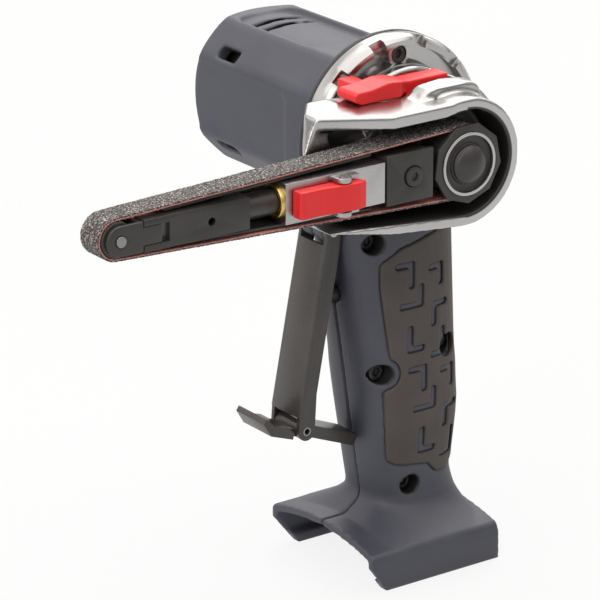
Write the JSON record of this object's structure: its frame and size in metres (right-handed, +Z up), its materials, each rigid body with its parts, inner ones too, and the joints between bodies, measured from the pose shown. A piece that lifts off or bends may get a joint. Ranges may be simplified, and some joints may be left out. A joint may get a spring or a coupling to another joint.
{
  "type": "cordless belt file",
  "caption": "Pistol-grip cordless belt file with battery foot, transverse motor barrel, planetary gear, paddle trigger with lock-off, and a swivelling head with a sprung narrow-belt arm",
  "frame": {"origin": "on the surface that the foot stands on, under the motor axis, in the plane where the handle splits", "axes": "+X along the belt arm, +Y towards the belt side along the motor axis, +Z up"},
  "size_m": [0.1696, 0.1259, 0.1811],
  "materials": {
    "moulded_plastic": "satin",
    "grip_rubber": "matte",
    "black_plastic": "satin",
    "red_plastic": "gloss",
    "polished_metal": "polished",
    "bright_steel": "brushed",
    "black_steel": "satin",
    "spring_steel": "plain",
    "gear_steel": "ground",
    "brass": "turned",
    "abrasive": "coated grit",
    "black_rubber": "matte",
    "magnet": "plain",
    "carbon": "plain",
    "board": "satin"
  },
  "bodies": {
    "housing": {"front_handle_half": "moulded_plastic", "rear_handle_half": "moulded_plastic", "front_grip_pad": "grip_rubber", "rear_grip_pad": "grip_rubber", "motor_barrel": "moulded_plastic", "barrel_seal": "black_rubber", "gear_case": "polished_metal", "case_screws": "black_steel", "handle_screws": "black_steel", "motor_can": "gear_steel", "motor_end_bell": "black_plastic", "field_magnets": "magnet", "carbon_brushes": "carbon", "motor_bearings": "bright_steel", "ring_gear": "gear_steel", "spindle_bearings": "bright_steel", "swivel_circlip": "spring_steel", "switch_body": "black_plastic", "control_board": "board", "terminal_block": "black_plastic", "battery_contacts": "brass", "paddle_pin": "bright_steel"},
    "rotor": {"rotor": "gear_steel", "cooling_fan": "black_plastic", "sun_pinion": "gear_steel"},
    "spindle": {"planet_carrier": "gear_steel", "drive_wheel": "black_steel", "drive_tyre": "black_rubber", "wheel_ring": "polished_metal", "wheel_cap": "black_steel"},
    "planet_1": {"planet_gear_1": "gear_steel"},
    "planet_2": {"planet_gear_2": "gear_steel"},
    "planet_3": {"planet_gear_3": "gear_steel"},
    "head": {"head_casting": "polished_metal", "lock_pin": "bright_steel", "arm_mount": "black_steel", "arm_plate": "black_steel", "arm_screw": "black_steel", "arm_bracket": "bright_steel", "rod_bush": "brass", "belt_platen": "black_steel", "abrasive_belt": "abrasive", "latch_pin": "bright_steel", "lock_spring": "spring_steel", "tension_spring": "spring_steel"},
    "head_lock": {"head_lock_lever": "red_plastic"},
    "tension_arm": {"tension_rod": "black_steel", "nose_fork": "black_steel", "idler_pin": "bright_steel"},
    "idler": {"idler_wheel": "black_steel"},
    "tension_latch": {"tension_latch": "red_plastic"},
    "paddle": {"paddle": "black_plastic", "roll_pin": "bright_steel"},
    "lock_off": {"lock_off_lever": "black_plastic"},
    "switch_plunger": {"switch_plunger": "black_plastic"}
  },
  "joints": [
    {"name": "rotor_spin", "type": "hinge", "parent": "housing", "child": "rotor", "pos_m": [0, 0, 0.148], "axis": [0, 1, 0], "continuous": true},
    {"name": "spindle_spin", "type": "hinge", "parent": "housing", "child": "spindle", "pos_m": [0, 0, 0.148], "axis": [0, 1, 0], "continuous": true},
    {"name": "head_swivel", "type": "hinge", "parent": "housing", "child": "head", "pos_m": [0, 0.015, 0.148], "axis": [0, -1, 0], "range_deg": [-30, 90]},
    {"name": "head_lock_tilt", "type": "hinge", "parent": "head", "child": "head_lock", "pos_m": [0.0066, 0.022, 0.1669], "axis": [0, -1, 0], "range_deg": [0, 8], "stiffness_Nm_per_rad": 0.4, "springref_deg": -5.73, "deforming": ["lock_spring"]},
    {"name": "tension_slide", "type": "slide", "parent": "head", "child": "tension_arm", "axis": [-1, 0, 0], "range_m": [0, 0.006], "stiffness_N_per_m": 1500, "springref_m": -0.004, "deforming": ["tension_spring"]},
    {"name": "idler_spin", "type": "hinge", "parent": "tension_arm", "child": "idler", "pos_m": [0.1296, 0.038, 0.148], "axis": [0, 1, 0], "continuous": true},
    {"name": "latch_tilt", "type": "hinge", "parent": "head", "child": "tension_latch", "pos_m": [0.051, 0.0472, 0.148], "axis": [0, 0, 1], "range_deg": [0, 14]},
    {"name": "paddle_squeeze", "type": "hinge", "parent": "housing", "child": "paddle", "pos_m": [0.0255, 0, 0.1203], "axis": [0, 1, 0], "range_deg": [0, 6], "stiffness_Nm_per_rad": 1.2, "springref_deg": -8.59},
    {"name": "lock_off_tilt", "type": "hinge", "parent": "paddle", "child": "lock_off", "pos_m": [0.03619, 0, 0.05454], "axis": [0, 1, 0], "range_deg": [-36.5, 0.5]},
    {"name": "switch_press", "type": "slide", "parent": "housing", "child": "switch_plunger", "axis": [-1, 0, 0], "range_m": [0, 0.0026]},
    {"name": "planet_1_spin", "type": "hinge", "parent": "spindle", "child": "planet_1", "pos_m": [0.01125, 0, 0.148], "axis": [0, 1, 0], "continuous": true},
    {"name": "planet_2_spin", "type": "hinge", "parent": "spindle", "child": "planet_2", "pos_m": [-0.00562, 0, 0.15774], "axis": [0, 1, 0], "continuous": true},
    {"name": "planet_3_spin", "type": "hinge", "parent": "spindle", "child": "planet_3", "pos_m": [-0.00562, 0, 0.13826], "axis": [0, 1, 0], "continuous": true}
  ],
  "couplings": [
    {"joint": "spindle_spin", "follows": "rotor_spin", "ratio": 0.25},
    {"joint": "idler_spin", "follows": "rotor_spin", "ratio": 0.45703},
    {"joint": "lock_off_tilt", "follows": "paddle_squeeze", "ratio": -6},
    {"joint": "switch_press", "follows": "paddle_squeeze", "m_per_rad": 0.0233},
    {"joint": "planet_1_spin", "follows": "rotor_spin", "ratio": -0.75},
    {"joint": "planet_2_spin", "follows": "rotor_spin", "ratio": -0.75},
    {"joint": "planet_3_spin", "follows": "rotor_spin", "ratio": -0.75}
  ]
}
